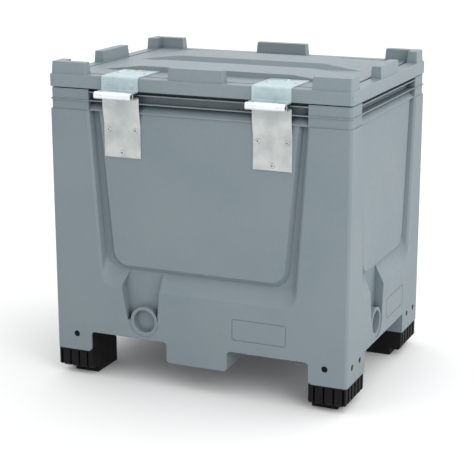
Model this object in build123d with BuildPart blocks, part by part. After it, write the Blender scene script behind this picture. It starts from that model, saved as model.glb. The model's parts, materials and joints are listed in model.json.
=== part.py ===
"""Pallet-sized plastic container with a hinged stacking lid.

Millimetres, +Z up.  The long wall that carries the hinges faces -Y.  The origin is the middle of the
whole assembly's footprint at floor level, so the box itself sits a little towards +Y, because the two
hinge barrels stand out from its front wall.
"""
from build123d import *
import os

os.makedirs("parts", exist_ok=True)

# Overall sizes
LENGTH = 800.0
WIDTH = 600.0
WALL = 6.0
CORNER_RADIUS = 8.0
RIM_RADIUS = 8.0
HOLD_RADIUS = 28.0
BAND_INSET = 3.0
RIM_INSET = 8.0

# A cut starts this far outside the face it enters, and edges are picked within this band of a level
OVERSHOOT = 1.0
PICK_BAND = 0.1

# Levels above the floor
SKIRT_BOTTOM = 68.0
APRON_BOTTOM = 122.0
FLOOR_UNDERSIDE = 128.0
FLOOR_TOP = 134.0
COLUMN_TOP = 702.0
LOWER_RIB = 726.0
LOWER_RIB_TOP = 728.5
UPPER_RIB = 747.5
UPPER_RIB_TOP = 750.0
BAND_TOP = 755.0
RIM_TOP = 784.7

# Walls: everything is measured as a depth behind the outer face
GROUND_DEPTH = 24.0
PANEL_DEPTH = 10.0
CAVITY_DEPTH = 30.0
CHANNEL_SLOPE_TOP = 724.0
LIP_DEPTH = 6.0
LIP_HEIGHT = 3.0
GROUND_BOTTOM = 249.0
GROUND_SLOPE = 49.0
GROUND_DRAFT = 4.0
GROUND_FILLET = 40.0
GROUND_EASE = 5.0
GROUND_EASE_STEP = 0.5
PANEL_FILLET = 38.0

# Base
LANE_INNER = 83.0
FOOT_INNER_X = 300.0
FOOT_INNER_Y = 163.0
SKIRT_FILLET = 10.0
BASE_RIB = 5.0
BASE_RIB_PITCH = 74.0
BASE_CELLS_X = 11
BASE_CELLS_Y = 9
RIM_LIP = 13.0
RIM_SLOT = 9.0
PLAQUE_LENGTH = 144.0
PLAQUE_WIDTH = 56.0
PLAQUE_HEIGHT = 181.0
PLAQUE_RADIUS = 6.0
PLAQUE_LINE = 2.5
PLAQUE_DEPTH = 1.2

# Drain bosses
DRAIN_HEIGHT = 169.0
DRAIN_POCKET_HALF = 46.0
DRAIN_POCKET_WIDE = 62.0
DRAIN_POCKET_SWELL = 88.0
DRAIN_POCKET_FILLET = 30.0
DRAIN_FLARE_RADIUS = 42.0
DRAIN_OUTER_RADIUS = 38.0
DRAIN_INNER_RADIUS = 30.0
DRAIN_FACE_DEPTH = 3.0
DRAIN_HOLE_DEPTH = 17.0

# Feet
FOOT_GAP = 0.3
FOOT_FACE_INSET = 3.0
FOOT_CORE_INSET = 33.0
FOOT_CORE_TOP = 18.0
FOOT_WALL = 6.0
FOOT_GROOVE_FRONT = 5.0
FOOT_GROOVE_SIDE = 11.0
FOOT_GROOVE_DEPTH = 12.0
FOOT_GROOVE_ROOF = 5.0
FOOT_RIB_PITCH = 25.0
FOOT_GROOVES_FRONT = 4
FOOT_GROOVES_SIDE = 5
FOOT_GROOVE_START_X = 15.0
FOOT_GROOVE_START_Y = 22.5
FOOT_TONGUE = 44.0
FOOT_TONGUE_THICKNESS = 3.5
FOOT_PIN_HEIGHT = 112.0
FOOT_PIN_FRONT_X = 342.0
FOOT_PIN_SIDE_Y = (203.0, 262.0)
FOOT_PIN_HEAD_RADIUS = 8.0
FOOT_PIN_SHANK_RADIUS = 5.0
FOOT_PIN_CLEARANCE = 0.2
FOOT_PIN_RECESS = 1.5
FOOT_PIN_LENGTH = 10.0
FOOT_PIN_HOLE_DEPTH = 18.0
FOOT_PIN_DIMPLE_RADIUS = 3.0
FOOT_PIN_DIMPLE_DEPTH = 2.0
FOOT_CHAMFER = 6.0

# Lid
DECK_THICKNESS = 5.0
DECK_TOP = 790.0
DECK_UNDERSIDE = DECK_TOP - DECK_THICKNESS
LID_SKIRT_BOTTOM = 758.0
LID_SKIRT = 5.0
LUG_TOP = 820.0
LUG_INSET = 4.0
LUG_WIDTH = 28.0
LUG_CORNER_X = 98.0
LUG_CORNER_Y = 60.0
LUG_MIDDLE_HALF = 73.0
LUG_WALL = 4.5
PAD_TOP = 803.0
PAD_OUTER_Y = 175.0
PAD_INNER_Y = 35.0
PAD_TIP_X = 312.0
PAD_FULL_X = 205.0
PAD_OUTER_RUN = 3.0
PAD_INNER_RUN = 12.0
DECK_EDGE_RADIUS = 3.5
LUG_TAPER = 4.0
LUG_DRAFT_MARGIN = 2.0
LUG_OUTER_RADIUS = 5.0
LID_FRAME_INSET = 32.0
LID_FRAME_WIDTH = 11.0
LID_RIB = 4.0
LID_RIB_BOTTOM = 770.0
LID_RIB_PITCH_X = 140.0
LID_RIB_PITCH_Y = 130.0
LID_RIBS_ACROSS = 5
LID_RIBS_ALONG = 3
GUTTER_INSET = 33.0
GUTTER_WIDTH = 7.0
GUTTER_DEPTH = 5.0

# Hinges
HINGE_CENTRES = {"left": -200.0, "right": 200.0}
HINGE_WIDTH = 100.0
SHEET = 3.0
KNUCKLE_RADIUS = 9.0
KNUCKLE_BORE = 6.0
PIN_RADIUS = 5.95
PIN_RECESS = 1.0
HINGE_OUTSTAND = 36.0
HINGE_AXIS_Z = 750.0
LID_KNUCKLE_HALF = 30.0
KNUCKLE_GAP = 0.4
LID_LEAF_REACH = 123.0
WALL_LEAF_BOTTOM = 590.0
JOGGLE_BOTTOM = 674.0
JOGGLE_TOP = 714.0
BEND_RADIUS = 4.5
JOGGLE_RADIUS = 4.0
NOTCH_CLEARANCE = 3.5
RIVET_SHANK_RADIUS = 1.9
RIVET_HOLE_RADIUS = 1.95
RIVET_HEAD_RADIUS = 6.5
RIVET_HEAD_HEIGHT = 2.2
RIVET_TAIL_RADIUS = 3.4
RIVET_TAIL_HEIGHT = 3.0
RIVET_HEAD_TAPER = 30.0
RIVET_EYE_RADIUS = 2.2
RIVET_EYE_DEPTH = 1.6
RIVET_TAIL_TAPER = 15.0
PIN_CHAMFER = 0.6
WASHER_RADIUS = 6.0
WASHER_THICKNESS = 1.5
RIVET_HALF_SPACING = 37.0
WALL_RIVET_UPPER_Z = 659.0
WALL_RIVET_LOWER_Z = 602.0
LID_RIVET_FRONT = 68.0
LID_RIVET_REAR = 104.0

# The box stands this far behind the origin, half of what the hinge barrels add in front.
CENTRE_Y = (HINGE_OUTSTAND + KNUCKLE_RADIUS) / 2
FRONT_Y = CENTRE_Y - WIDTH / 2
HINGE_AXIS_Y = FRONT_Y - HINGE_OUTSTAND

CORNERS = {
    "front_left": (-1, -1),
    "front_right": (1, -1),
    "rear_left": (-1, 1),
    "rear_right": (1, 1),
}


def level(height):
    """Horizontal plane at a height, centred on the box."""
    return Plane(origin=(0, CENTRE_Y, height))


def wall_plane(side, depth=0.0):
    """Plane of a wall seen from outside: local x runs along the wall, local y is height."""
    outward = {"front": (0, -1), "right": (1, 0), "rear": (0, 1), "left": (-1, 0)}[side]
    reach = WIDTH / 2 if side in ("front", "rear") else LENGTH / 2
    origin = (outward[0] * (reach - depth), CENTRE_Y + outward[1] * (reach - depth), 0)
    return Plane(origin=origin, x_dir=(-outward[1], outward[0], 0), z_dir=(outward[0], outward[1], 0))


def wall_section_plane(side):
    """Vertical plane across a wall at its middle: local x is the depth inwards, local y is height."""
    face = wall_plane(side)
    return Plane(origin=face.origin, x_dir=-face.z_dir, z_dir=face.x_dir)


# One shape per kind of wall: half widths at the top and at the foot of the tapering recess and panel
WALL_SHAPES = {
    "long": {
        "ground_top": 291.0,
        "ground_foot": 262.0,
        "panel_top": 264.0,
        "panel_foot": 229.0,
        "panel_bottom": 311.0,
        "drain_x": -147.0,
        "plaque_x": 169.0,
    },
    "short": {
        "ground_top": 222.0,
        "ground_foot": 186.0,
        "panel_top": 200.0,
        "panel_foot": 161.0,
        "panel_bottom": 320.0,
        "drain_x": -66.0,
        "plaque_x": 84.0,
    },
}
WALLS = {"front": "long", "right": "short", "rear": "long", "left": "short"}
PANEL_RISE = GROUND_DEPTH - PANEL_DEPTH


def shield(plane, half_top, half_foot, top, bottom, radius):
    """Sketch of a tapering shield outline with rounded lower corners."""
    with BuildSketch(plane) as outline:
        with BuildLine():
            Polyline(
                (-half_top, top),
                (-half_foot, bottom),
                (half_foot, bottom),
                (half_top, top),
                close=True,
            )
        make_face()
        fillet(outline.vertices().group_by(Axis.Y)[0], radius=radius)
    return outline.sketch


def ground_recess(side):
    """Solid to cut from a wall: the sunk ground that leaves corner columns and an apron."""
    shape = WALL_SHAPES[WALLS[side]]
    lift = shape["panel_bottom"] - WALL_SHAPES["long"]["panel_bottom"]
    bottom = GROUND_BOTTOM + lift
    with BuildPart() as recess:
        loft(
            [
                shield(
                    wall_plane(side, -OVERSHOOT),
                    shape["ground_top"],
                    shape["ground_foot"],
                    COLUMN_TOP,
                    bottom,
                    GROUND_FILLET,
                ),
                shield(
                    wall_plane(side, GROUND_DEPTH),
                    shape["ground_top"] - GROUND_DRAFT,
                    shape["ground_foot"] - GROUND_DRAFT,
                    COLUMN_TOP,
                    bottom + GROUND_SLOPE,
                    GROUND_FILLET,
                ),
            ]
        )
    return recess.part


def recess_ease(side):
    """Solid to cut from a wall: takes the edge off the corner columns where they meet the sunk ground."""
    shape = WALL_SHAPES[WALLS[side]]
    lift = shape["panel_bottom"] - WALL_SHAPES["long"]["panel_bottom"]
    bottom = GROUND_BOTTOM + lift + GROUND_EASE_STEP
    slope = GROUND_SLOPE / (GROUND_DEPTH + OVERSHOOT)
    draft = GROUND_DRAFT / (GROUND_DEPTH + OVERSHOOT)
    with BuildPart() as ease:
        loft(
            [
                shield(
                    wall_plane(side, depth),
                    shape["ground_top"] + grow,
                    shape["ground_foot"] + grow,
                    COLUMN_TOP,
                    bottom + (depth + OVERSHOOT) * slope,
                    GROUND_FILLET,
                )
                for depth, grow in (
                    (-OVERSHOOT, GROUND_EASE + OVERSHOOT),
                    (GROUND_EASE, -(GROUND_EASE + OVERSHOOT) * draft - GROUND_EASE_STEP),
                )
            ]
        )
    return ease.part


def shield_panel(side):
    """Solid to add on the sunk ground: the raised middle panel with sloping edges."""
    shape = WALL_SHAPES[WALLS[side]]
    with BuildPart() as panel:
        loft(
            [
                shield(
                    wall_plane(side, GROUND_DEPTH + WALL),
                    shape["panel_top"] + PANEL_RISE,
                    shape["panel_foot"] + PANEL_RISE,
                    COLUMN_TOP,
                    shape["panel_bottom"] - PANEL_RISE - WALL,
                    PANEL_FILLET + PANEL_RISE,
                ),
                shield(
                    wall_plane(side, PANEL_DEPTH),
                    shape["panel_top"],
                    shape["panel_foot"],
                    COLUMN_TOP,
                    shape["panel_bottom"],
                    PANEL_FILLET,
                ),
            ]
        )
    return panel.part


def panel_hollow(side):
    """Solid to cut from inside: the hollow behind the raised panel."""
    shape = WALL_SHAPES[WALLS[side]]
    margin = WALL / 2
    with BuildPart() as hollow:
        extrude(
            shield(
                wall_plane(side, PANEL_DEPTH + WALL),
                shape["panel_top"] - margin,
                shape["panel_foot"] - margin,
                COLUMN_TOP - WALL,
                shape["panel_bottom"] + margin,
                PANEL_FILLET,
            ),
            amount=-(CAVITY_DEPTH - PANEL_DEPTH - WALL + OVERSHOOT),
        )
    return hollow.part


def wall_rivet_points(centre):
    """Rivet places of a wall leaf, as (x, height): two above, one below."""
    return [
        (centre - RIVET_HALF_SPACING, WALL_RIVET_UPPER_Z),
        (centre + RIVET_HALF_SPACING, WALL_RIVET_UPPER_Z),
        (centre, WALL_RIVET_LOWER_Z),
    ]


def lid_rivet_points(centre):
    """Rivet places of a lid leaf, as (x, y) from the middle of the box: two in front, one behind."""
    front = -WIDTH / 2 + LID_RIVET_FRONT
    rear = -WIDTH / 2 + LID_RIVET_REAR
    return [
        (centre - RIVET_HALF_SPACING, front),
        (centre + RIVET_HALF_SPACING, front),
        (centre, rear),
    ]


def foot_pin_planes(corner):
    """Planes of the three pins of one foot, each looking outwards from the box's face."""
    side_x, side_y = CORNERS[corner]
    front = Plane(
        origin=(
            side_x * FOOT_PIN_FRONT_X,
            CENTRE_Y + side_y * WIDTH / 2,
            FOOT_PIN_HEIGHT,
        ),
        x_dir=(1, 0, 0),
        z_dir=(0, side_y, 0),
    )
    sides = [
        Plane(
            origin=(side_x * LENGTH / 2, CENTRE_Y + side_y * y, FOOT_PIN_HEIGHT),
            x_dir=(0, 1, 0),
            z_dir=(side_x, 0, 0),
        )
        for y in FOOT_PIN_SIDE_Y
    ]
    return [front, *sides]


# --- The box -------------------------------------------------------------------------------------

with BuildPart() as box_body:
    # Outer block with its corner columns, then the slightly inset rib band and the rim
    with BuildSketch(level(APRON_BOTTOM)):
        RectangleRounded(LENGTH, WIDTH, CORNER_RADIUS)
    extrude(amount=COLUMN_TOP - APRON_BOTTOM)
    with BuildSketch(level(COLUMN_TOP)):
        RectangleRounded(LENGTH - 2 * BAND_INSET, WIDTH - 2 * BAND_INSET, CORNER_RADIUS)
    extrude(amount=BAND_TOP - COLUMN_TOP)
    with BuildSketch(level(BAND_TOP)):
        RectangleRounded(LENGTH - 2 * RIM_INSET, WIDTH - 2 * RIM_INSET, RIM_RADIUS)
    extrude(amount=RIM_TOP - BAND_TOP)

    # The lower rib runs on round the corner columns as a thin bead, flush with the outer face
    with BuildSketch(level(LOWER_RIB)):
        RectangleRounded(LENGTH, WIDTH, CORNER_RADIUS)
        Rectangle(2 * WALL_SHAPES["long"]["ground_top"], WIDTH, mode=Mode.SUBTRACT)
        Rectangle(LENGTH, 2 * WALL_SHAPES["short"]["ground_top"], mode=Mode.SUBTRACT)
    extrude(amount=LOWER_RIB_TOP - LOWER_RIB)

    # Four foot skirts and the two middle supports stand below the apron
    with BuildSketch(level(SKIRT_BOTTOM)):
        RectangleRounded(LENGTH, WIDTH, CORNER_RADIUS)
        Rectangle(LENGTH, 2 * FOOT_INNER_Y, mode=Mode.SUBTRACT)
        with GridLocations(LANE_INNER + FOOT_INNER_X, 0, 2, 1):
            Rectangle(FOOT_INNER_X - LANE_INNER, WIDTH, mode=Mode.SUBTRACT)
    extrude(amount=APRON_BOTTOM - SKIRT_BOTTOM)
    lane_edges = (
        box_body.edges()
        .filter_by(Axis.Y)
        .filter_by_position(Axis.Z, SKIRT_BOTTOM - PICK_BAND, APRON_BOTTOM + PICK_BAND)
        .filter_by_position(Axis.X, -FOOT_INNER_X - PICK_BAND, FOOT_INNER_X + PICK_BAND)
    )
    fillet(lane_edges, radius=SKIRT_FILLET)

    # Sunk ground and raised panel on every wall
    for side in WALLS:
        add(ground_recess(side), mode=Mode.SUBTRACT)
        add(recess_ease(side), mode=Mode.SUBTRACT)
        add(shield_panel(side))

    # Long channels between and above the three ribs under the rim; the lowest slopes out to a lip that
    # stands a little proud of the panel
    for side, kind in WALLS.items():
        with BuildSketch(wall_section_plane(side)):
            with BuildLine():
                Polyline(
                    (-OVERSHOOT, COLUMN_TOP),
                    (LIP_DEPTH, COLUMN_TOP),
                    (LIP_DEPTH, COLUMN_TOP + LIP_HEIGHT),
                    (GROUND_DEPTH, CHANNEL_SLOPE_TOP),
                    (GROUND_DEPTH, LOWER_RIB),
                    (-OVERSHOOT, LOWER_RIB),
                    close=True,
                )
            make_face()
            with BuildLine():
                Polyline(
                    (-OVERSHOOT, LOWER_RIB_TOP),
                    (GROUND_DEPTH, LOWER_RIB_TOP),
                    (GROUND_DEPTH, UPPER_RIB),
                    (-OVERSHOOT, UPPER_RIB),
                    close=True,
                )
            make_face()
            with BuildLine():
                Polyline(
                    (-OVERSHOOT, UPPER_RIB_TOP),
                    (GROUND_DEPTH, UPPER_RIB_TOP),
                    (GROUND_DEPTH, BAND_TOP),
                    (-OVERSHOOT, BAND_TOP),
                    close=True,
                )
            make_face()
        extrude(amount=WALL_SHAPES[kind]["ground_top"], both=True, mode=Mode.SUBTRACT)

    # Inside: the main hold, the hollow corner columns, panels and aprons
    cavity_length = LENGTH - 2 * CAVITY_DEPTH
    cavity_width = WIDTH - 2 * CAVITY_DEPTH
    with BuildSketch(level(FLOOR_TOP)):
        RectangleRounded(cavity_length, cavity_width, HOLD_RADIUS)
    extrude(amount=RIM_TOP - FLOOR_TOP, mode=Mode.SUBTRACT)
    for side in WALLS:
        add(panel_hollow(side), mode=Mode.SUBTRACT)
    column_x = (LENGTH / 2 - WALL + WALL_SHAPES["long"]["ground_top"] + WALL) / 2
    column_y = (WIDTH / 2 - WALL + WALL_SHAPES["short"]["ground_top"] + WALL) / 2
    column_length = LENGTH / 2 - 2 * WALL - WALL_SHAPES["long"]["ground_top"]
    column_width = WIDTH / 2 - 2 * WALL - WALL_SHAPES["short"]["ground_top"]
    with BuildSketch(level(FLOOR_TOP)):
        with GridLocations(2 * column_x, 2 * column_y, 2, 2):
            RectangleRounded(column_length, column_width, CORNER_RADIUS - WALL)
    extrude(amount=BAND_TOP - WALL - FLOOR_TOP, mode=Mode.SUBTRACT)
    for side, kind in WALLS.items():
        shape = WALL_SHAPES[kind]
        clear = DRAIN_POCKET_WIDE + WALL
        spans = [
            (-shape["ground_top"], shape["drain_x"] - clear),
            (shape["drain_x"] + clear, shape["ground_top"]),
        ]
        for start, end in spans:
            with BuildSketch(wall_plane(side, WALL)):
                with Locations(((start + end) / 2, (FLOOR_TOP + GROUND_BOTTOM - WALL) / 2)):
                    Rectangle(end - start, GROUND_BOTTOM - WALL - FLOOR_TOP)
            extrude(amount=-(CAVITY_DEPTH - WALL + OVERSHOOT), mode=Mode.SUBTRACT)

    # Drain bosses: a ring standing in a sunk pocket of the apron, blind at its back
    for side, kind in WALLS.items():
        shape = WALL_SHAPES[kind]
        pocket_top = shape["panel_bottom"] - PANEL_RISE - DRAIN_HEIGHT
        outline = [
            (DRAIN_OUTER_RADIUS, 0),
            (DRAIN_POCKET_HALF, DRAIN_POCKET_SWELL),
            (DRAIN_POCKET_HALF, pocket_top),
            (-DRAIN_POCKET_HALF, pocket_top),
            (-DRAIN_POCKET_WIDE, DRAIN_POCKET_SWELL),
            (-DRAIN_POCKET_HALF, 0),
        ]
        with BuildSketch(wall_plane(side)) as pocket:
            with BuildLine():
                places = [(shape["drain_x"] + x, DRAIN_HEIGHT + height) for x, height in outline]
                Polyline(*places, close=True)
            make_face()
            fillet(pocket.vertices().sort_by(Axis.X)[0], radius=DRAIN_POCKET_FILLET)
        extrude(amount=-GROUND_DEPTH, mode=Mode.SUBTRACT)
        with BuildSketch(wall_plane(side)):
            with Locations((shape["drain_x"], DRAIN_HEIGHT)):
                Circle(DRAIN_FLARE_RADIUS)
        extrude(amount=-DRAIN_FACE_DEPTH, mode=Mode.SUBTRACT)
        with BuildSketch(wall_plane(side, DRAIN_FACE_DEPTH)):
            with Locations((shape["drain_x"], DRAIN_HEIGHT)):
                Circle(DRAIN_OUTER_RADIUS)
        extrude(amount=-(GROUND_DEPTH - DRAIN_FACE_DEPTH))
        with BuildSketch(wall_plane(side, DRAIN_FACE_DEPTH)):
            with Locations((shape["drain_x"], DRAIN_HEIGHT)):
                Circle(DRAIN_INNER_RADIUS)
        extrude(amount=-DRAIN_HOLE_DEPTH, mode=Mode.SUBTRACT)

    # Underside: sockets for the feet, hollow middle supports and a grid of stiffening ribs
    socket_length = LENGTH / 2 - FOOT_INNER_X - WALL
    socket_width = WIDTH / 2 - FOOT_INNER_Y - 2 * WALL
    socket_pitch_y = 2 * FOOT_INNER_Y + 2 * WALL + socket_width
    with BuildSketch(level(SKIRT_BOTTOM)):
        with GridLocations(2 * FOOT_INNER_X + socket_length, socket_pitch_y, 2, 2):
            Rectangle(socket_length, socket_width)
        with GridLocations(0, socket_pitch_y, 1, 2):
            Rectangle(2 * LANE_INNER - 2 * WALL, socket_width)
    extrude(amount=FLOOR_UNDERSIDE - SKIRT_BOTTOM, mode=Mode.SUBTRACT)
    with BuildSketch(level(SKIRT_BOTTOM)):
        with GridLocations(2 * FOOT_INNER_X - SKIRT_FILLET, socket_pitch_y, 2, 2):
            Rectangle(SKIRT_FILLET, socket_width)
    extrude(amount=APRON_BOTTOM - SKIRT_BOTTOM, mode=Mode.SUBTRACT)
    with BuildSketch(level(APRON_BOTTOM)):
        Rectangle(2 * (FOOT_INNER_X - FOOT_TONGUE - OVERSHOOT), 2 * (WIDTH / 2 - WALL))
        Rectangle(2 * (LENGTH / 2 - WALL), 2 * FOOT_INNER_Y)
        with GridLocations(BASE_RIB_PITCH, BASE_RIB_PITCH, BASE_CELLS_X, BASE_CELLS_Y):
            Rectangle(BASE_RIB_PITCH - BASE_RIB, BASE_RIB_PITCH - BASE_RIB, mode=Mode.INTERSECT)
    extrude(amount=FLOOR_UNDERSIDE - APRON_BOTTOM, mode=Mode.SUBTRACT)

    # The rim is an upturned channel, open downwards behind the lid's skirt
    with BuildSketch(level(BAND_TOP)):
        RectangleRounded(LENGTH - 2 * RIM_LIP, WIDTH - 2 * RIM_LIP, CORNER_RADIUS - WALL)
        Rectangle(LENGTH - 2 * GROUND_DEPTH, WIDTH - 2 * GROUND_DEPTH, mode=Mode.SUBTRACT)
    extrude(amount=RIM_TOP - WALL - BAND_TOP, mode=Mode.SUBTRACT)
    with BuildSketch(level(BAND_TOP)):
        Rectangle(LENGTH, WIDTH)
        Rectangle(LENGTH - 2 * GROUND_DEPTH, WIDTH - 2 * GROUND_DEPTH, mode=Mode.SUBTRACT)
    extrude(amount=RIM_SLOT, mode=Mode.SUBTRACT)

    # Blank engraved label frame on the front and right aprons
    for side in ("front", "right"):
        plaque_x = WALL_SHAPES[WALLS[side]]["plaque_x"]
        with BuildSketch(wall_plane(side)):
            with Locations((plaque_x, PLAQUE_HEIGHT)):
                RectangleRounded(PLAQUE_LENGTH, PLAQUE_WIDTH, PLAQUE_RADIUS)
                inner_length = PLAQUE_LENGTH - 2 * PLAQUE_LINE
                inner_width = PLAQUE_WIDTH - 2 * PLAQUE_LINE
                RectangleRounded(inner_length, inner_width, PLAQUE_RADIUS - PLAQUE_LINE, mode=Mode.SUBTRACT)
        extrude(amount=-PLAQUE_DEPTH, mode=Mode.SUBTRACT)

    # Holes for the hinge rivets and the foot pins
    with BuildSketch(wall_plane("front")):
        for centre in HINGE_CENTRES.values():
            with Locations(*wall_rivet_points(centre)):
                Circle(RIVET_HOLE_RADIUS)
    extrude(amount=-CAVITY_DEPTH, mode=Mode.SUBTRACT)
    for corner in CORNERS:
        for plane in foot_pin_planes(corner):
            with BuildSketch(plane):
                Circle(FOOT_PIN_HEAD_RADIUS + FOOT_PIN_CLEARANCE)
            extrude(amount=-WALL, mode=Mode.SUBTRACT)

box_body.part.label = "box_body"
export_step(box_body.part, "parts/box_body.step")


# --- Feet ----------------------------------------------------------------------------------------


def foot(corner):
    """One plastic foot: a hollow plug in the box's skirt, a ribbed pad below it and a core on the floor."""
    side_x, side_y = CORNERS[corner]
    inner_x = FOOT_INNER_X
    outer_x = LENGTH / 2
    inner_y = FOOT_INNER_Y
    outer_y = WIDTH / 2
    gap = FOOT_GAP

    def block(start_x, end_x, start_y, end_y, bottom, top, mode=Mode.ADD):
        with Locations(((start_x + end_x) / 2, (start_y + end_y) / 2, bottom)):
            size = (end_x - start_x, end_y - start_y, top - bottom)
            Box(*size, align=(Align.CENTER, Align.CENTER, Align.MIN), mode=mode)

    with BuildPart() as body:
        # Core that stands on the floor, ribbed pad under the skirt, plug inside the skirt
        core_outer_x = outer_x - FOOT_CORE_INSET
        core_outer_y = outer_y - FOOT_CORE_INSET
        block(inner_x, core_outer_x, inner_y, core_outer_y, 0, FOOT_CORE_TOP)
        pad_outer_x = outer_x - FOOT_FACE_INSET
        pad_outer_y = outer_y - FOOT_FACE_INSET
        block(inner_x, pad_outer_x, inner_y, pad_outer_y, FOOT_CORE_TOP, SKIRT_BOTTOM - gap)
        pad_foot_edges = body.edges().filter_by_position(
            Axis.Z, FOOT_CORE_TOP - PICK_BAND, FOOT_CORE_TOP + PICK_BAND
        )
        outer_edges = pad_foot_edges.filter_by(Axis.X).sort_by(Axis.Y)[-1:]
        outer_edges += pad_foot_edges.filter_by(Axis.Y).sort_by(Axis.X)[-1:]
        chamfer(outer_edges, length=FOOT_CHAMFER)
        plug_top = FLOOR_UNDERSIDE - gap
        plug_outer_x = outer_x - WALL - gap
        plug_outer_y = outer_y - WALL - gap
        plug_inner_y = inner_y + WALL + gap
        block(inner_x, plug_outer_x, plug_inner_y, plug_outer_y, SKIRT_BOTTOM - gap, plug_top)
        tongue_top = APRON_BOTTOM - gap
        block(
            inner_x - FOOT_TONGUE, inner_x, plug_inner_y, plug_outer_y,
            tongue_top - FOOT_TONGUE_THICKNESS, tongue_top,
        )

        # Upright grooves split the pad's two outer faces into ribs
        for step in range(FOOT_GROOVES_FRONT):
            x = inner_x + FOOT_GROOVE_START_X + step * FOOT_RIB_PITCH
            block(
                x - FOOT_GROOVE_FRONT / 2, x + FOOT_GROOVE_FRONT / 2,
                pad_outer_y - FOOT_GROOVE_DEPTH, outer_y,
                0, SKIRT_BOTTOM - gap - FOOT_GROOVE_ROOF, mode=Mode.SUBTRACT,
            )
        for step in range(FOOT_GROOVES_SIDE):
            y = outer_y - FOOT_GROOVE_START_Y - step * FOOT_RIB_PITCH
            block(
                pad_outer_x - FOOT_GROOVE_DEPTH, outer_x,
                y - FOOT_GROOVE_SIDE / 2, y + FOOT_GROOVE_SIDE / 2,
                0, SKIRT_BOTTOM - gap - FOOT_GROOVE_ROOF, mode=Mode.SUBTRACT,
            )

        # Hollow from above, leaving the walls and a sole
        wall = FOOT_WALL
        block(
            inner_x + wall, plug_outer_x - wall, plug_inner_y + wall, plug_outer_y - wall,
            SKIRT_BOTTOM - gap, plug_top, mode=Mode.SUBTRACT,
        )
        block(
            inner_x + wall, core_outer_x, inner_y + 2 * wall, core_outer_y,
            FOOT_CORE_TOP + wall, SKIRT_BOTTOM, mode=Mode.SUBTRACT,
        )
        block(
            inner_x + wall, core_outer_x - wall, inner_y + 2 * wall, core_outer_y - wall,
            wall, FOOT_CORE_TOP + wall, mode=Mode.SUBTRACT,
        )

        # Holes for the pins' shanks
        rear_face = Plane(origin=(FOOT_PIN_FRONT_X, outer_y, FOOT_PIN_HEIGHT), z_dir=(0, 1, 0))
        side_faces = [
            Plane(origin=(outer_x, y, FOOT_PIN_HEIGHT), z_dir=(1, 0, 0)) for y in FOOT_PIN_SIDE_Y
        ]
        for face in [rear_face, *side_faces]:
            with BuildSketch(face):
                Circle(FOOT_PIN_SHANK_RADIUS + FOOT_PIN_CLEARANCE)
            extrude(amount=-FOOT_PIN_HOLE_DEPTH, mode=Mode.SUBTRACT)
    shape = body.part
    if side_x < 0:
        shape = shape.mirror(Plane.YZ)
    if side_y < 0:
        shape = shape.mirror(Plane.XZ)
    return Pos(0, CENTRE_Y, 0) * shape


for corner in CORNERS:
    name = f"foot_{corner}"
    piece = foot(corner)
    piece.label = name
    export_step(piece, f"parts/{name}.step")

# Each foot is held by three push-in pins: a flat head sunk in the skirt's hole and a shank in the plug
for corner in CORNERS:
    name = f"foot_pins_{corner}"
    with BuildPart() as foot_pins:
        for plane in foot_pin_planes(corner):
            with BuildSketch(plane.offset(-FOOT_PIN_RECESS)):
                Circle(FOOT_PIN_HEAD_RADIUS)
            extrude(amount=-(WALL - FOOT_PIN_RECESS))
            with BuildSketch(plane.offset(-WALL)):
                Circle(FOOT_PIN_SHANK_RADIUS)
            extrude(amount=-FOOT_PIN_LENGTH)
            with BuildSketch(plane.offset(-FOOT_PIN_RECESS)):
                Circle(FOOT_PIN_DIMPLE_RADIUS)
            extrude(amount=-FOOT_PIN_DIMPLE_DEPTH, mode=Mode.SUBTRACT)
    foot_pins.part.label = name
    export_step(foot_pins.part, f"parts/{name}.step")


# --- Lid -----------------------------------------------------------------------------------------


def deck_pad(side_y):
    """One of the two long raised pads of the deck, its ends running out to the deck."""
    with BuildPart() as pad:
        with BuildSketch(Plane(origin=(0, 0, 0), x_dir=(1, 0, 0), z_dir=(0, -1, 0))):
            with BuildLine():
                Polyline(
                    (-PAD_TIP_X, DECK_TOP),
                    (-PAD_FULL_X, PAD_TOP),
                    (PAD_FULL_X, PAD_TOP),
                    (PAD_TIP_X, DECK_TOP),
                    close=True,
                )
            make_face()
        extrude(amount=WIDTH, both=True)
        with BuildSketch(Plane.YZ):
            with BuildLine():
                Polyline(
                    (PAD_INNER_Y, DECK_TOP),
                    (PAD_INNER_Y + PAD_INNER_RUN, PAD_TOP),
                    (PAD_OUTER_Y - PAD_OUTER_RUN, PAD_TOP),
                    (PAD_OUTER_Y, DECK_TOP),
                    close=True,
                )
            make_face()
        extrude(amount=LENGTH, both=True, mode=Mode.INTERSECT)
    shape = pad.part
    if side_y < 0:
        shape = shape.mirror(Plane.XZ)
    return Pos(0, CENTRE_Y, 0) * shape


lug_outer_x = LENGTH / 2 - LUG_INSET
lug_outer_y = WIDTH / 2 - LUG_INSET


def lug_outline(grow=0.0):
    """Draw the plan of all eight lugs in the current sketch: four L corners and four middle bars."""
    long_bar = LUG_CORNER_X + 2 * grow
    short_bar = LUG_CORNER_Y + 2 * grow
    width = LUG_WIDTH + 2 * grow
    with GridLocations(2 * lug_outer_x - LUG_CORNER_X, 2 * lug_outer_y - LUG_WIDTH, 2, 2):
        Rectangle(long_bar, width)
    with GridLocations(2 * lug_outer_x - LUG_WIDTH, 2 * lug_outer_y - LUG_CORNER_Y, 2, 2):
        Rectangle(width, short_bar)
    with GridLocations(0, 2 * lug_outer_y - LUG_WIDTH, 1, 2):
        Rectangle(2 * LUG_MIDDLE_HALF + 2 * grow, width)
    with GridLocations(2 * lug_outer_x - LUG_WIDTH, 0, 2, 1):
        Rectangle(width, 2 * LUG_MIDDLE_HALF + 2 * grow)


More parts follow.
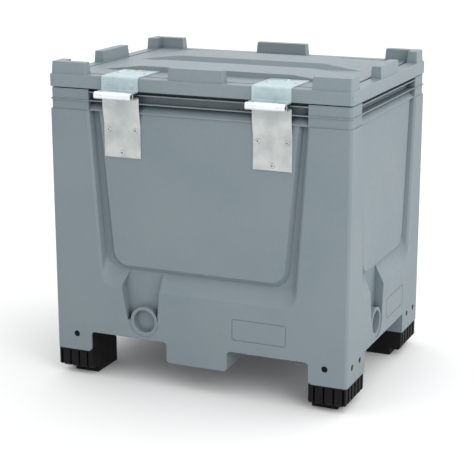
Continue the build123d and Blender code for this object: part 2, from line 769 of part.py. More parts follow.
with BuildPart() as lid:
    # Deck with a skirt all round
    with BuildSketch(level(LID_SKIRT_BOTTOM)):
        RectangleRounded(LENGTH, WIDTH, CORNER_RADIUS)
    extrude(amount=DECK_TOP - LID_SKIRT_BOTTOM)
    fillet(lid.faces().sort_by(Axis.Z)[-1].edges(), radius=DECK_EDGE_RADIUS)
    for side_y in (-1, 1):
        add(deck_pad(side_y))

    # Stacking lugs, drawn in a little towards the top
    with BuildSketch(level(DECK_UNDERSIDE)) as lugs:
        lug_outline()
        box_corners = [
            corner
            for corner in lugs.vertices()
            if abs(corner.X) > lug_outer_x - PICK_BAND and abs(corner.Y) > lug_outer_y - PICK_BAND
        ]
        fillet(box_corners, radius=LUG_OUTER_RADIUS)
    extrude(amount=LUG_TOP - DECK_UNDERSIDE, taper=LUG_TAPER)

    # Open underside: skirt, lugs and pads are all shells
    with BuildSketch(level(LID_SKIRT_BOTTOM)):
        RectangleRounded(LENGTH - 2 * LID_SKIRT, WIDTH - 2 * LID_SKIRT, CORNER_RADIUS - LID_SKIRT)
    extrude(amount=DECK_UNDERSIDE - LID_SKIRT_BOTTOM, mode=Mode.SUBTRACT)
    with BuildSketch(level(DECK_UNDERSIDE)):
        lug_outline(-LUG_WALL - LUG_DRAFT_MARGIN)
    extrude(amount=LUG_TOP - LUG_WALL - DECK_UNDERSIDE, mode=Mode.SUBTRACT)
    for side_y in (-1, 1):
        add(Pos(0, 0, -DECK_THICKNESS) * deck_pad(side_y), mode=Mode.SUBTRACT)

    # Locating frame and stiffening ribs under the deck
    with BuildSketch(level(LID_RIB_BOTTOM)):
        frame_length = LENGTH - 2 * LID_FRAME_INSET
        frame_width = WIDTH - 2 * LID_FRAME_INSET
        RectangleRounded(frame_length, frame_width, HOLD_RADIUS)
        inner_length = frame_length - 2 * LID_FRAME_WIDTH
        inner_width = frame_width - 2 * LID_FRAME_WIDTH
        inner_radius = HOLD_RADIUS - LID_FRAME_WIDTH
        RectangleRounded(inner_length, inner_width, inner_radius, mode=Mode.SUBTRACT)
        with GridLocations(LID_RIB_PITCH_X, 0, LID_RIBS_ACROSS, 1):
            Rectangle(LID_RIB, frame_width - LID_RIB)
        with GridLocations(0, LID_RIB_PITCH_Y, 1, LID_RIBS_ALONG):
            Rectangle(frame_length - LID_RIB, LID_RIB)
    extrude(amount=DECK_UNDERSIDE - LID_RIB_BOTTOM)

    # Gutter round the deck, just inside the lugs and over the locating frame
    with BuildSketch(level(DECK_TOP)):
        gutter_length = LENGTH - 2 * GUTTER_INSET
        gutter_width = WIDTH - 2 * GUTTER_INSET
        gutter_radius = HOLD_RADIUS - GUTTER_INSET + LID_FRAME_INSET
        RectangleRounded(gutter_length, gutter_width, gutter_radius)
        field_length = gutter_length - 2 * GUTTER_WIDTH
        field_width = gutter_width - 2 * GUTTER_WIDTH
        RectangleRounded(field_length, field_width, gutter_radius - GUTTER_WIDTH, mode=Mode.SUBTRACT)
    extrude(amount=-GUTTER_DEPTH, mode=Mode.SUBTRACT)

    # Holes for the hinge rivets
    with BuildSketch(level(DECK_TOP)):
        for centre in HINGE_CENTRES.values():
            with Locations(*lid_rivet_points(centre)):
                Circle(RIVET_HOLE_RADIUS)
    extrude(amount=-DECK_THICKNESS, mode=Mode.SUBTRACT)
lid.part.label = "lid"
export_step(lid.part, "parts/lid.step")


# --- Hinges --------------------------------------------------------------------------------------


def bent_strip(points, bend_radius):
    """Sketch of a bent sheet seen from its end, from the points (y, height) of its middle line."""
    with BuildSketch(Plane.YZ) as section:
        with BuildLine():
            FilletPolyline(*points, radius=bend_radius)
        trace(line_width=SHEET)
    return section.sketch


def knuckle(centre_x, length):
    """A rolled barrel around the hinge axis."""
    with BuildPart() as barrel:
        start = Plane(origin=(centre_x - length / 2, HINGE_AXIS_Y, HINGE_AXIS_Z), z_dir=(1, 0, 0))
        with BuildSketch(start):
            Circle(KNUCKLE_RADIUS)
            Circle(KNUCKLE_BORE, mode=Mode.SUBTRACT)
        extrude(amount=length)
    return barrel.part


flange_reach_y = HINGE_AXIS_Y + KNUCKLE_RADIUS + NOTCH_CLEARANCE


def lid_leaf(centre):
    """Upper leaf: a plate on the deck, a leg down the skirt and a tongue out to the middle barrel."""
    half_sheet = SHEET / 2
    tongue_z = HINGE_AXIS_Z + KNUCKLE_RADIUS - half_sheet
    plate = [
        (FRONT_Y + LID_LEAF_REACH, DECK_TOP + half_sheet),
        (FRONT_Y - half_sheet, DECK_TOP + half_sheet),
        (FRONT_Y - half_sheet, tongue_z),
    ]
    with BuildPart() as leaf:
        short_leg = bent_strip([*plate, (flange_reach_y, tongue_z)], BEND_RADIUS)
        extrude(short_leg, amount=HINGE_WIDTH / 2, both=True)
        long_leg = bent_strip([*plate, (HINGE_AXIS_Y, tongue_z)], BEND_RADIUS)
        extrude(long_leg, amount=LID_KNUCKLE_HALF, both=True)
        with Locations((0, HINGE_AXIS_Y, HINGE_AXIS_Z)):
            Cylinder(KNUCKLE_BORE, 2 * LID_KNUCKLE_HALF, rotation=(0, 90, 0), mode=Mode.SUBTRACT)
        add(knuckle(0, 2 * LID_KNUCKLE_HALF))
    with BuildPart() as drilled:
        add(Pos(centre, 0, 0) * leaf.part)
        with BuildSketch(level(DECK_TOP + SHEET)):
            with Locations(*lid_rivet_points(centre)):
                Circle(RIVET_HOLE_RADIUS)
        extrude(amount=-SHEET, mode=Mode.SUBTRACT)
    return drilled.part


def wall_leaf(centre):
    """Lower leaf: a plate on the raised panel, a step over the ribs and a flange to the end barrels."""
    half_sheet = SHEET / 2
    flange_z = HINGE_AXIS_Z - KNUCKLE_RADIUS + half_sheet
    plate_y = FRONT_Y + PANEL_DEPTH - half_sheet
    band_y = FRONT_Y + BAND_INSET - half_sheet
    plate = [
        (plate_y, WALL_LEAF_BOTTOM),
        (plate_y, JOGGLE_BOTTOM),
        (band_y, JOGGLE_TOP),
        (band_y, flange_z),
    ]
    with BuildPart() as leaf:
        flanged = bent_strip([*plate, (flange_reach_y, flange_z)], JOGGLE_RADIUS)
        extrude(flanged, amount=HINGE_WIDTH / 2, both=True)
        length = HINGE_WIDTH / 2 - LID_KNUCKLE_HALF - KNUCKLE_GAP
        for side_x in (-1, 1):
            middle = side_x * (HINGE_WIDTH - length) / 2
            with Locations((middle, (HINGE_AXIS_Y + flange_reach_y) / 2, flange_z)):
                Box(length, flange_reach_y - HINGE_AXIS_Y, SHEET)
            with Locations((middle, HINGE_AXIS_Y, HINGE_AXIS_Z)):
                Cylinder(KNUCKLE_BORE, length, rotation=(0, 90, 0), mode=Mode.SUBTRACT)
            add(knuckle(middle, length))
    with BuildPart() as drilled:
        add(Pos(centre, 0, 0) * leaf.part)
        with BuildSketch(wall_plane("front", PANEL_DEPTH - SHEET)):
            with Locations(*wall_rivet_points(centre)):
                Circle(RIVET_HOLE_RADIUS)
        extrude(amount=-SHEET, mode=Mode.SUBTRACT)
    return drilled.part


def rivets(face, points, grip):
    """Blind rivets through a sheet and its backing: head with an open eye, shank, formed tail inside."""
    with BuildPart() as group:
        with BuildSketch(face):
            with Locations(*points):
                Circle(RIVET_HEAD_RADIUS)
        extrude(amount=RIVET_HEAD_HEIGHT, taper=RIVET_HEAD_TAPER)
        with BuildSketch(face):
            with Locations(*points):
                Circle(RIVET_SHANK_RADIUS)
        extrude(amount=-grip)
        with BuildSketch(face.offset(-grip)):
            with Locations(*points):
                Circle(RIVET_TAIL_RADIUS)
        extrude(amount=-RIVET_TAIL_HEIGHT, taper=RIVET_TAIL_TAPER)
        with BuildSketch(face.offset(RIVET_HEAD_HEIGHT)):
            with Locations(*points):
                Circle(RIVET_EYE_RADIUS)
        extrude(amount=-RIVET_EYE_DEPTH, mode=Mode.SUBTRACT)
    return group.part


def washers(face, points):
    """Backing washers lying on the inner side of a sheet."""
    with BuildPart() as group:
        with BuildSketch(face):
            with Locations(*points):
                Circle(WASHER_RADIUS)
                Circle(RIVET_HOLE_RADIUS, mode=Mode.SUBTRACT)
        extrude(amount=-WASHER_THICKNESS)
    return group.part


def pin(centre):
    """Hinge pin, a plain rod with chamfered ends just inside the barrels."""
    length = HINGE_WIDTH - 2 * PIN_RECESS
    with BuildPart() as rod:
        with Locations((centre, HINGE_AXIS_Y, HINGE_AXIS_Z)):
            Cylinder(PIN_RADIUS, length, rotation=(0, 90, 0))
        chamfer(rod.edges().filter_by(GeomType.CIRCLE), length=PIN_CHAMFER)
    return rod.part


for side, centre in HINGE_CENTRES.items():
    wall_face = wall_plane("front", PANEL_DEPTH - SHEET)
    wall_back = wall_plane("front", PANEL_DEPTH + WALL)
    lid_face = level(DECK_TOP + SHEET)
    lid_back = level(DECK_UNDERSIDE)
    pieces = {
        "hinge_lid_leaf": lid_leaf(centre),
        "hinge_wall_leaf": wall_leaf(centre),
        "hinge_pin": pin(centre),
        "wall_rivets": rivets(wall_face, wall_rivet_points(centre), SHEET + WALL + WASHER_THICKNESS),
        "wall_washers": washers(wall_back, wall_rivet_points(centre)),
        "lid_rivets": rivets(lid_face, lid_rivet_points(centre), SHEET + DECK_THICKNESS + WASHER_THICKNESS),
        "lid_washers": washers(lid_back, lid_rivet_points(centre)),
    }
    for kind, piece in pieces.items():
        name = f"{kind}_{side}"
        piece.label = name
        export_step(piece, f"parts/{name}.step")
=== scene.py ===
"""Looks of the pallet-sized plastic container: moulded plastic, sheet steel, a pale floor and soft light.

Metres, +Z up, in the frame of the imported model.  The hinges are on the wall that faces -Y.
"""
import json
import math

import bpy
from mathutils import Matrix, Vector

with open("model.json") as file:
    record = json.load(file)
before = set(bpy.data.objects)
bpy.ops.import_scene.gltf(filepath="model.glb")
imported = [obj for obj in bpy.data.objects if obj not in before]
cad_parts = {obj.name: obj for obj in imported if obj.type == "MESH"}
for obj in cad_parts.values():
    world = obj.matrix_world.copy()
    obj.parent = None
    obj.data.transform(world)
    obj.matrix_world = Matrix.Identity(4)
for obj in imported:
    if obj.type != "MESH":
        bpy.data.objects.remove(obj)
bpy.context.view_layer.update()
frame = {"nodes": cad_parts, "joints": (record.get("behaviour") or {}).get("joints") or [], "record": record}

MM = 0.001


# --- Node helpers --------------------------------------------------------------------------------

# Parts of a noise's range that are stretched to 0..1: the narrower a band, the harder the pattern.
SOFT_BAND = (0.3, 0.7)
FIRM_BAND = (0.35, 0.65)

SHADER_SAMPLES = 6
EDGE_AGREEMENT = (0.995, 0.75)
AXIS_FADE = 1.5 * MM


class Shader:
    """A new material with a Principled shader, and short calls for the nodes that feed it."""

    def __init__(self, name):
        self.material = bpy.data.materials.new(name)
        self.material.use_nodes = True
        self.tree = self.material.node_tree
        self.principled = self.tree.nodes["Principled BSDF"]
        self.place = self.tree.nodes.new("ShaderNodeTexCoord").outputs["Object"]

    def feed(self, socket, value):
        """Links value to the socket if it is another socket, and otherwise sets it."""
        if isinstance(value, bpy.types.NodeSocket):
            self.tree.links.new(value, socket)
        else:
            socket.default_value = value

    def node(self, kind, inputs=(), **settings):
        made = self.tree.nodes.new(kind)
        for key, value in settings.items():
            setattr(made, key, value)
        for key, value in dict(inputs).items():
            self.feed(made.inputs[key], value)
        return made

    def stretched(self, scale):
        """Object coordinates multiplied along X, Y and Z, for streaks."""
        return self.node("ShaderNodeMapping", {"Vector": self.place, "Scale": scale}).outputs["Vector"]

    def height(self):
        """Object coordinate along Z."""
        return self.node("ShaderNodeSeparateXYZ", {0: self.place}).outputs["Z"]

    def noise(self, size, detail=2.0, rough=0.5, place=None):
        """Smooth noise whose features are about size metres across."""
        inputs = {"Vector": place or self.place, "Scale": 1 / size, "Detail": detail, "Roughness": rough}
        return self.node("ShaderNodeTexNoise", inputs).outputs["Fac"]

    def cells(self, size, output, **settings):
        """Cellular pattern whose cells are about size metres across."""
        inputs = {"Vector": self.place, "Scale": 1 / size}
        return self.node("ShaderNodeTexVoronoi", inputs, **settings).outputs[output]

    def spread(self, value, low, high, to_low=0.0, to_high=1.0):
        """Maps value from low..high to to_low..to_high, clamped."""
        inputs = {"Value": value, "From Min": low, "From Max": high, "To Min": to_low, "To Max": to_high}
        return self.node("ShaderNodeMapRange", inputs).outputs["Result"]

    def math(self, operation, first, second=0.0):
        return self.node("ShaderNodeMath", {0: first, 1: second}, operation=operation).outputs["Value"]

    def mix(self, factor, first, second):
        """Colour between first and second."""
        made = self.node("ShaderNodeMix", {"Factor": factor}, data_type="RGBA")
        colours = [socket for socket in made.inputs if socket.type == "RGBA"]
        self.feed(colours[0], first)
        self.feed(colours[1], second)
        return next(socket for socket in made.outputs if socket.type == "RGBA")

    def bump(self, height, distance, strength, under):
        """Bump of the given depth in metres, on top of the normals under it."""
        inputs = {"Height": height, "Distance": distance, "Strength": strength, "Normal": under}
        return self.node("ShaderNodeBump", inputs).outputs["Normal"]

    def rounded(self, radius):
        """Normals that catch the light as if every edge were rounded to radius metres."""
        inputs = {"Radius": radius}
        return self.node("ShaderNodeBevel", inputs, samples=SHADER_SAMPLES).outputs["Normal"]

    def edge(self, radius):
        """0 on flat faces, rising to 1 at edges and corners within radius metres."""
        rounded = self.rounded(radius)
        flat = self.node("ShaderNodeNewGeometry").outputs["Normal"]
        agreement = self.node("ShaderNodeVectorMath", {0: rounded, 1: flat}, operation="DOT_PRODUCT")
        return self.spread(agreement.outputs["Value"], *EDGE_AGREEMENT)

    def crevice(self, reach, shade_start=0.55, shade_full=0.12):
        """Painted shade: 0 in the open, rising to 1 in gaps narrower than about reach metres.

        The two shares after reach are the shares of open sky where the painted shade begins and where it is
        full.
        """
        inputs = {"Distance": reach}
        sky = self.node("ShaderNodeAmbientOcclusion", inputs, samples=SHADER_SAMPLES).outputs["AO"]
        return self.spread(sky, shade_start, shade_full)

    def near_axis(self, point, reach):
        """1 within reach metres of a line along X through the point (x, y, z), 0 just outside."""
        split = self.node("ShaderNodeSeparateXYZ", {0: self.place}).outputs
        across = self.math("POWER", self.math("SUBTRACT", split["Y"], point[1]), 2.0)
        upright = self.math("POWER", self.math("SUBTRACT", split["Z"], point[2]), 2.0)
        distance = self.math("SQRT", self.math("ADD", across, upright))
        return self.spread(distance, reach + AXIS_FADE, reach)

    def set(self, **inputs):
        """Sets or links the shader's own sockets; an underscore in a name stands for a space."""
        for key, value in inputs.items():
            self.feed(self.principled.inputs[key.replace("_", " ")], value)
        return self.material


def colour(red, green, blue):
    """A colour given as it is displayed, 0 to 255, turned to the linear values that shaders use."""
    def linear(value):
        value /= 255
        return value / 12.92 if value <= 0.04045 else ((value + 0.055) / 1.055) ** 2.4

    return (linear(red), linear(green), linear(blue), 1.0)


# --- Grey plastic --------------------------------------------------------------------------------

# Sizes, reaches and depths are in metres; shares are how far a colour goes over, 0 to 1.
FLOW_CLOUD = 0.22
PLASTIC_MOTTLE = 0.012
MOTTLE_SHARE = 0.25
# Paler edges in patches: part wear, part painted highlight along the ribs and lips.
WEAR_AND_HIGHLIGHT_REACH = 1.6 * MM
WEAR_AND_HIGHLIGHT_PATCH = 0.02
WEAR_AND_HIGHLIGHT_BAND = (0.35, 0.62)
WEAR_AND_HIGHLIGHT_SHARE = (0.25, 0.8)
SCUFF_SIZE = 0.006
SCUFF_STRETCH = (0.12, 1.0, 1.6)
SCUFF_BAND = (0.66, 0.74)
SCUFF_CLOUD_BAND = (0.5, 0.62)
SCUFF_SHARE = 0.35
SCUFF_DULLING = 0.12
# Painted shade: the plastic darkens in gaps and recesses narrower than this reach.
GAP_SHADE_REACH = 24 * MM
GAP_SHADE_SHARE = 0.92
GRAIN_SIZE = 1.1 * MM
GRAIN_DEPTH = 0.07 * MM
RIPPLE_SIZE = 0.07
RIPPLE_DEPTH = 0.9 * MM
MOULD_EASE = 2.2 * MM


def moulded_grey(name, tone, gloss):
    """Grey polyethylene: flow clouding, fine eroded-mould grain, paler edges that are part wear and part
    painted highlight, scuffs, and painted shade in gaps.
    """
    shader = Shader(name)
    clouds = shader.noise(FLOW_CLOUD, detail=3.0)
    mottle = shader.noise(PLASTIC_MOTTLE, detail=4.0, rough=0.6)
    base = shader.mix(shader.spread(clouds, *FIRM_BAND), tone["cool"], tone["warm"])
    base = shader.mix(shader.spread(mottle, *SOFT_BAND, 0.0, MOTTLE_SHARE), base, tone["pale"])

    # Paler edges in patches, part wear and part painted highlight.
    patches = shader.spread(shader.noise(WEAR_AND_HIGHLIGHT_PATCH, detail=4.0), *WEAR_AND_HIGHLIGHT_BAND, *WEAR_AND_HIGHLIGHT_SHARE)
    base = shader.mix(shader.math("MULTIPLY", shader.edge(WEAR_AND_HIGHLIGHT_REACH), patches), base, tone["edge"])

    scuffs = shader.noise(SCUFF_SIZE, place=shader.stretched(SCUFF_STRETCH))
    scuffed = shader.math("MULTIPLY", shader.spread(scuffs, *SCUFF_BAND),
                          shader.spread(clouds, *SCUFF_CLOUD_BAND))
    base = shader.mix(shader.math("MULTIPLY", scuffed, SCUFF_SHARE), base, tone["pale"])
    # Painted shade: the colour goes towards the darkest tone in gaps and recesses.
    gap_shade = shader.math("MULTIPLY", shader.crevice(GAP_SHADE_REACH), GAP_SHADE_SHARE)
    base = shader.mix(gap_shade, base, tone["gap_shade"])

    grain = shader.cells(GRAIN_SIZE, "Distance", feature="SMOOTH_F1")
    waves = shader.noise(RIPPLE_SIZE, detail=1.0)
    ripple = shader.bump(waves, RIPPLE_DEPTH, strength=0.35, under=shader.rounded(MOULD_EASE))
    normal = shader.bump(grain, GRAIN_DEPTH, strength=0.55, under=ripple)
    rough = shader.spread(mottle, *SOFT_BAND, gloss - 0.05, gloss + 0.06)
    rough = shader.math("ADD", rough, shader.math("MULTIPLY", scuffed, SCUFF_DULLING))
    shader.set(Base_Color=base, Roughness=rough, Normal=normal)
    return shader.set(Specular_IOR_Level=0.42, IOR=1.5)


# --- Black plastic -------------------------------------------------------------------------------

REGRIND_MOTTLE = 0.009
REGRIND_TONES = (colour(8, 8, 10), colour(17, 16, 19))
DUST_SIZE = 0.03
DUST_BAND = (0.45, 0.7)
DUST_HEIGHT = 0.05
DUST_SHARE = 0.3
DUST_TONE = colour(44, 43, 43)
SCRAPE_REACH = 1.2 * MM
SCRAPE_SHARE = 0.4
SCRAPE_TONE = colour(38, 38, 41)
COARSE_GRAIN = 1.6 * MM
FOOT_EASE = 0.9 * MM


def moulded_black(name, depth):
    """Black regrind polypropylene: coarse grain depth metres deep, grey dust low down, scraped edges."""
    shader = Shader(name)
    mottle = shader.noise(REGRIND_MOTTLE, detail=4.0, rough=0.65)
    base = shader.mix(shader.spread(mottle, *SOFT_BAND), *REGRIND_TONES)
    patches = shader.spread(shader.noise(DUST_SIZE, detail=5.0, rough=0.7), *DUST_BAND)
    low_down = shader.spread(shader.height(), DUST_HEIGHT, 0.0, 0.0, DUST_SHARE)
    dust = shader.math("MULTIPLY", patches, low_down)
    base = shader.mix(dust, base, DUST_TONE)
    base = shader.mix(shader.math("MULTIPLY", shader.edge(SCRAPE_REACH), SCRAPE_SHARE), base, SCRAPE_TONE)
    grain = shader.cells(COARSE_GRAIN, "Distance", feature="SMOOTH_F1")
    rough = shader.spread(mottle, *SOFT_BAND, 0.55, 0.72)
    normal = shader.bump(grain, depth, strength=0.7, under=shader.rounded(FOOT_EASE))
    shader.set(Base_Color=base, Roughness=rough, Normal=normal)
    return shader.set(Specular_IOR_Level=0.16)


# --- Metals --------------------------------------------------------------------------------------

SHEET_EASE = 0.6 * MM
CUT_REACH = 0.8 * MM
# Painted highlight on the hinge roll: the sheet's colour turns near white within this reach of the hinge
# axis.
BARREL_HIGHLIGHT_REACH = 9.5 * MM
BARREL_HIGHLIGHT_TONE = colour(226, 233, 235)
HINGE_AXIS = frame["joints"][0]["pos_m"]

SPANGLE_SIZE = 0.011
SPANGLE_DEPTH = 0.02 * MM
SPANGLE_LINE = 0.12
SPANGLE_TONES = (colour(158, 178, 183), colour(176, 194, 198))
DRIFT_SIZE = 0.05
DRIFT_BAND = (0.4, 0.7)
DRIFT_SHARE = 0.5
DRIFT_TONE = colour(186, 201, 204)
ZINC_CUT_TONE = colour(220, 230, 231)
ZINC_CUT_SHARE = 0.6
ZINC_PIT_SIZE = 1.5 * MM
ZINC_PIT_DEPTH = 0.03 * MM

ROLL_CLOUD = 0.045
SMUDGE_SIZE = 0.016
SMUDGE_STRETCH = (1.0, 1.0, 0.5)
SMUDGE_BAND = (0.52, 0.72)
SMUDGE_SHARE = 0.3
ROLL_LINE_SIZE = 1.6 * MM
ROLL_LINE_STRETCH = (1.0, 1.0, 0.04)
ROLL_LINE_BAND = (0.4, 0.75)
ROLL_LINE_SHARE = 0.12
ROLL_LINE_DEPTH = 0.01 * MM
STEEL_CUT_TONE = colour(228, 233, 232)
STEEL_CUT_SHARE = 0.7

TARNISH_SIZE = 0.004
TARNISH_BAND = (0.35, 0.7)
# Near-white rims on the edges of turned parts are painted highlight.
TURNED_EDGE_REACH = 0.6 * MM
TURNED_EDGE_SHARE = 0.6
TURNED_EDGE_TONE = colour(242, 243, 242)
# Painted shade: narrow gaps, such as the rivet dimples and where the heads meet the sheet, darken towards
# this tone.
RIVET_SHADE_REACH = 0.006
RIVET_SHADE_TONE = colour(30, 30, 32)
TURNED_GRAIN_SIZE = 0.8 * MM
TURNED_GRAIN_DEPTH = 0.02 * MM
TURNED_EASE = 0.4 * MM


def galvanised(name):
    """Hot-dipped zinc: bluish, crystalline spangle, each crystal a little duller or brighter."""
    shader = Shader(name)
    crystals = shader.cells(SPANGLE_SIZE, "Color")
    shade = shader.node("ShaderNodeSeparateColor", {"Color": crystals}).outputs["Red"]
    base = shader.mix(shade, *SPANGLE_TONES)
    drift = shader.noise(DRIFT_SIZE, detail=4.0)
    base = shader.mix(shader.spread(drift, *DRIFT_BAND, 0.0, DRIFT_SHARE), base, DRIFT_TONE)
    base = shader.mix(shader.math("MULTIPLY", shader.edge(CUT_REACH), ZINC_CUT_SHARE), base, ZINC_CUT_TONE)
    # Painted highlight: near white around the hinge roll.
    base = shader.mix(shader.near_axis(HINGE_AXIS, BARREL_HIGHLIGHT_REACH), base, BARREL_HIGHLIGHT_TONE)
    lines = shader.cells(SPANGLE_SIZE, "Distance", feature="DISTANCE_TO_EDGE")
    rims = shader.spread(lines, 0.0, SPANGLE_LINE)
    normal = shader.bump(rims, SPANGLE_DEPTH, strength=0.4, under=shader.rounded(SHEET_EASE))
    pits = shader.noise(ZINC_PIT_SIZE, detail=3.0)
    normal = shader.bump(pits, ZINC_PIT_DEPTH, strength=0.4, under=normal)
    shader.set(Base_Color=base, Roughness=shader.spread(shade, 0.0, 1.0, 0.38, 0.5), Normal=normal)
    return shader.set(Metallic=0.55)


def rolled_steel(name, low, high, rough):
    """Bright rolled sheet: soft clouds, a few handling smudges, fine rolling lines, bright cut edges."""
    shader = Shader(name)
    clouds = shader.noise(ROLL_CLOUD, rough=0.45)
    smudges = shader.noise(SMUDGE_SIZE, detail=3.0, rough=0.6, place=shader.stretched(SMUDGE_STRETCH))
    rolling = shader.stretched(ROLL_LINE_STRETCH)
    lines = shader.noise(ROLL_LINE_SIZE, detail=4.0, rough=0.6, place=rolling)
    base = shader.mix(shader.spread(clouds, *FIRM_BAND), low, high)
    base = shader.mix(shader.spread(smudges, *SMUDGE_BAND, 0.0, SMUDGE_SHARE), base, low)
    base = shader.mix(shader.spread(lines, *ROLL_LINE_BAND, 0.0, ROLL_LINE_SHARE), base, low)
    base = shader.mix(shader.math("MULTIPLY", shader.edge(CUT_REACH), STEEL_CUT_SHARE), base, STEEL_CUT_TONE)
    # Painted highlight: near white around the hinge roll.
    base = shader.mix(shader.near_axis(HINGE_AXIS, BARREL_HIGHLIGHT_REACH), base, BARREL_HIGHLIGHT_TONE)
    normal = shader.bump(lines, ROLL_LINE_DEPTH, strength=0.3, under=shader.rounded(SHEET_EASE))
    dulled = shader.spread(smudges, *SOFT_BAND, rough - 0.05, rough + 0.08)
    shader.set(Base_Color=base, Normal=normal, Roughness=dulled)
    return shader.set(Metallic=0.7, Anisotropic=0.2)


def turned_metal(name, low, high, rough):
    """Small turned or headed parts: fine all-round grain, tarnish in patches, near-white edges that are
    painted highlight, and painted shade in narrow gaps.
    """
    shader = Shader(name)
    tarnish = shader.noise(TARNISH_SIZE, detail=4.0, rough=0.65)
    base = shader.mix(shader.spread(tarnish, *TARNISH_BAND), high, low)
    # Painted highlight: near-white rims along the edges.
    edges = shader.math("MULTIPLY", shader.edge(TURNED_EDGE_REACH), TURNED_EDGE_SHARE)
    base = shader.mix(edges, base, TURNED_EDGE_TONE)
    # Painted shade in narrow gaps: the rivet dimples and the rims where heads meet the sheet.
    base = shader.mix(shader.crevice(RIVET_SHADE_REACH, shade_start=0.85, shade_full=0.4), base, RIVET_SHADE_TONE)
    grain = shader.noise(TURNED_GRAIN_SIZE)
    normal = shader.bump(grain, TURNED_GRAIN_DEPTH, strength=0.5, under=shader.rounded(TURNED_EASE))
    dulled = shader.spread(tarnish, *SOFT_BAND, rough, rough + 0.15)
    shader.set(Base_Color=base, Normal=normal, Roughness=dulled)
    return shader.set(Metallic=0.95)


# --- Finishes of the parts -----------------------------------------------------------------------

# In each set, the darkest tone is painted shade for gaps and recesses, and the palest, for edges, is part
# wear and part painted highlight.
BODY_TONES = {"cool": colour(106, 119, 125), "warm": colour(112, 123, 128),
              "pale": colour(122, 133, 138), "edge": colour(156, 166, 171), "gap_shade": colour(22, 27, 30)}
LID_TONES = {"cool": colour(110, 123, 129), "warm": colour(116, 127, 132),
             "pale": colour(128, 139, 144), "edge": colour(162, 172, 176), "gap_shade": colour(24, 29, 32)}
FINISHES = {
    "box_plastic": moulded_grey("box_moulding", BODY_TONES, 0.5),
    "lid_plastic": moulded_grey("lid_moulding", LID_TONES, 0.46),
    "foot_plastic": moulded_black("foot_moulding", 0.12 * MM),
    "pin_plastic": moulded_black("push_pin", 0.05 * MM),
    "zinc_sheet": galvanised("galvanised_sheet"),
    "steel_sheet": rolled_steel("rolled_sheet", colour(170, 176, 176), colour(194, 197, 195), 0.42),
    "pin_steel": turned_metal("hinge_rod", colour(70, 73, 76), colour(120, 124, 127), 0.35),
    "rivet_metal": turned_metal("rivet_alloy", colour(165, 167, 166), colour(214, 215, 212), 0.3),
    "washer_steel": turned_metal("zinc_washer", colour(150, 154, 153), colour(196, 199, 196), 0.35),
}

for part in frame["record"]["subparts"]:
    node = frame["nodes"][part["node"]]
    node.data.materials.clear()
    node.data.materials.append(FINISHES[part["material_slot"]])


# --- Stage, light and camera ---------------------------------------------------------------------

FLOOR_REACH = 60.0
FLOOR_ALBEDO = 0.76
FLOOR_VARIATION = 1.03
FLOOR_MOTTLE = 0.8
HORIZON_LIGHT = 0.62
ZENITH_LIGHT = 1.5
SIDE_LIGHT = 0.66
BACK_LIGHT = 0.5
PANEL_PLACE = (2.0, -1.7, 1.3)
PANEL_AIM = (0.2, 0, 0.45)
PANEL_SIZE = (1.4, 1.6)
PANEL_POWER = 20
SENSOR_WIDTH = 36.0  # mm, like the focal length
FOCAL_LENGTH = 104.2785
CAMERA_PLACE = (1.3817, -3.2360, 1.2781)
CAMERA_YAW = -0.4054
CAMERA_PITCH = 0.2605
CAMERA_SIGHT = 200


def grey(value):
    return (value, value, value, 1.0)


def pale_floor():
    reach = FLOOR_REACH
    mesh = bpy.data.meshes.new("floor")
    corners = [(-reach, -reach, 0), (reach, -reach, 0), (reach, reach, 0), (-reach, reach, 0)]
    mesh.from_pydata(corners, [], [(0, 1, 2, 3)])
    floor = bpy.data.objects.new("floor", mesh)
    bpy.context.scene.collection.objects.link(floor)
    shader = Shader("studio_floor")
    mottle = shader.noise(FLOOR_MOTTLE, detail=3.0)
    tone = shader.mix(mottle, grey(FLOOR_ALBEDO), grey(FLOOR_ALBEDO * FLOOR_VARIATION))
    shader.set(Base_Color=tone, Roughness=0.9, Specular_IOR_Level=0.0)
    mesh.materials.append(shader.material)


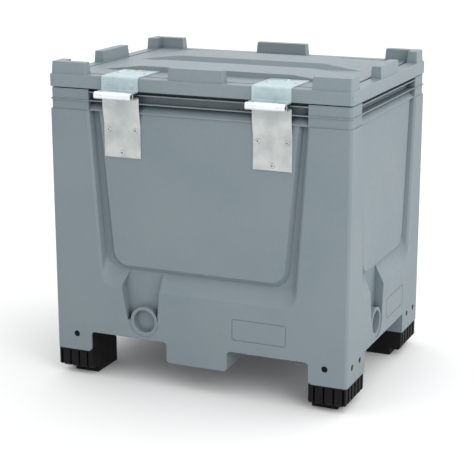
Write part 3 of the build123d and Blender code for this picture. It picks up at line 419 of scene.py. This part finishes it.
def studio_dome():
    """White all round, brightest overhead, with broad soft light from +X and from behind, +Y."""
    world = bpy.data.worlds.new("white_studio")
    world.use_nodes = True
    tree = world.node_tree
    background = tree.nodes["Background"]
    background.inputs["Color"].default_value = grey(1)
    direction = tree.nodes.new("ShaderNodeTexCoord").outputs["Generated"]
    split = tree.nodes.new("ShaderNodeSeparateXYZ")
    tree.links.new(direction, split.inputs[0])
    total = None
    for axis, strength in (("Z", ZENITH_LIGHT - HORIZON_LIGHT), ("X", SIDE_LIGHT), ("Y", BACK_LIGHT)):
        share = tree.nodes.new("ShaderNodeMapRange")
        share.inputs["To Max"].default_value = strength
        tree.links.new(split.outputs[axis], share.inputs["Value"])
        added = tree.nodes.new("ShaderNodeMath")
        added.inputs[0].default_value = HORIZON_LIGHT
        if total is not None:
            tree.links.new(total, added.inputs[0])
        tree.links.new(share.outputs["Result"], added.inputs[1])
        total = added.outputs[0]
    tree.links.new(total, background.inputs["Strength"])
    bpy.context.scene.world = world


def place_facing(made, place, forward):
    """Puts a lamp or camera at place, looking along forward, and adds it to the scene."""
    made.location = place
    made.rotation_mode = "QUATERNION"
    made.rotation_quaternion = forward.to_track_quat("-Z", "Y")
    bpy.context.scene.collection.objects.link(made)


def side_panel():
    data = bpy.data.lights.new("side_panel", "AREA")
    data.shape = "RECTANGLE"
    data.size, data.size_y = PANEL_SIZE
    data.energy = PANEL_POWER
    lamp = bpy.data.objects.new("side_panel", data)
    place_facing(lamp, PANEL_PLACE, Vector(PANEL_AIM) - Vector(PANEL_PLACE))


def camera():
    data = bpy.data.cameras.new("camera")
    data.sensor_width = SENSOR_WIDTH
    data.lens = FOCAL_LENGTH
    data.clip_end = CAMERA_SIGHT
    made = bpy.data.objects.new("camera", data)
    level = math.cos(CAMERA_PITCH)
    forward = Vector((math.sin(CAMERA_YAW) * level, math.cos(CAMERA_YAW) * level, -math.sin(CAMERA_PITCH)))
    place_facing(made, CAMERA_PLACE, forward)
    bpy.context.scene.camera = made


bpy.context.scene.view_settings.view_transform = "Standard"
pale_floor()
studio_dome()
side_panel()
camera()
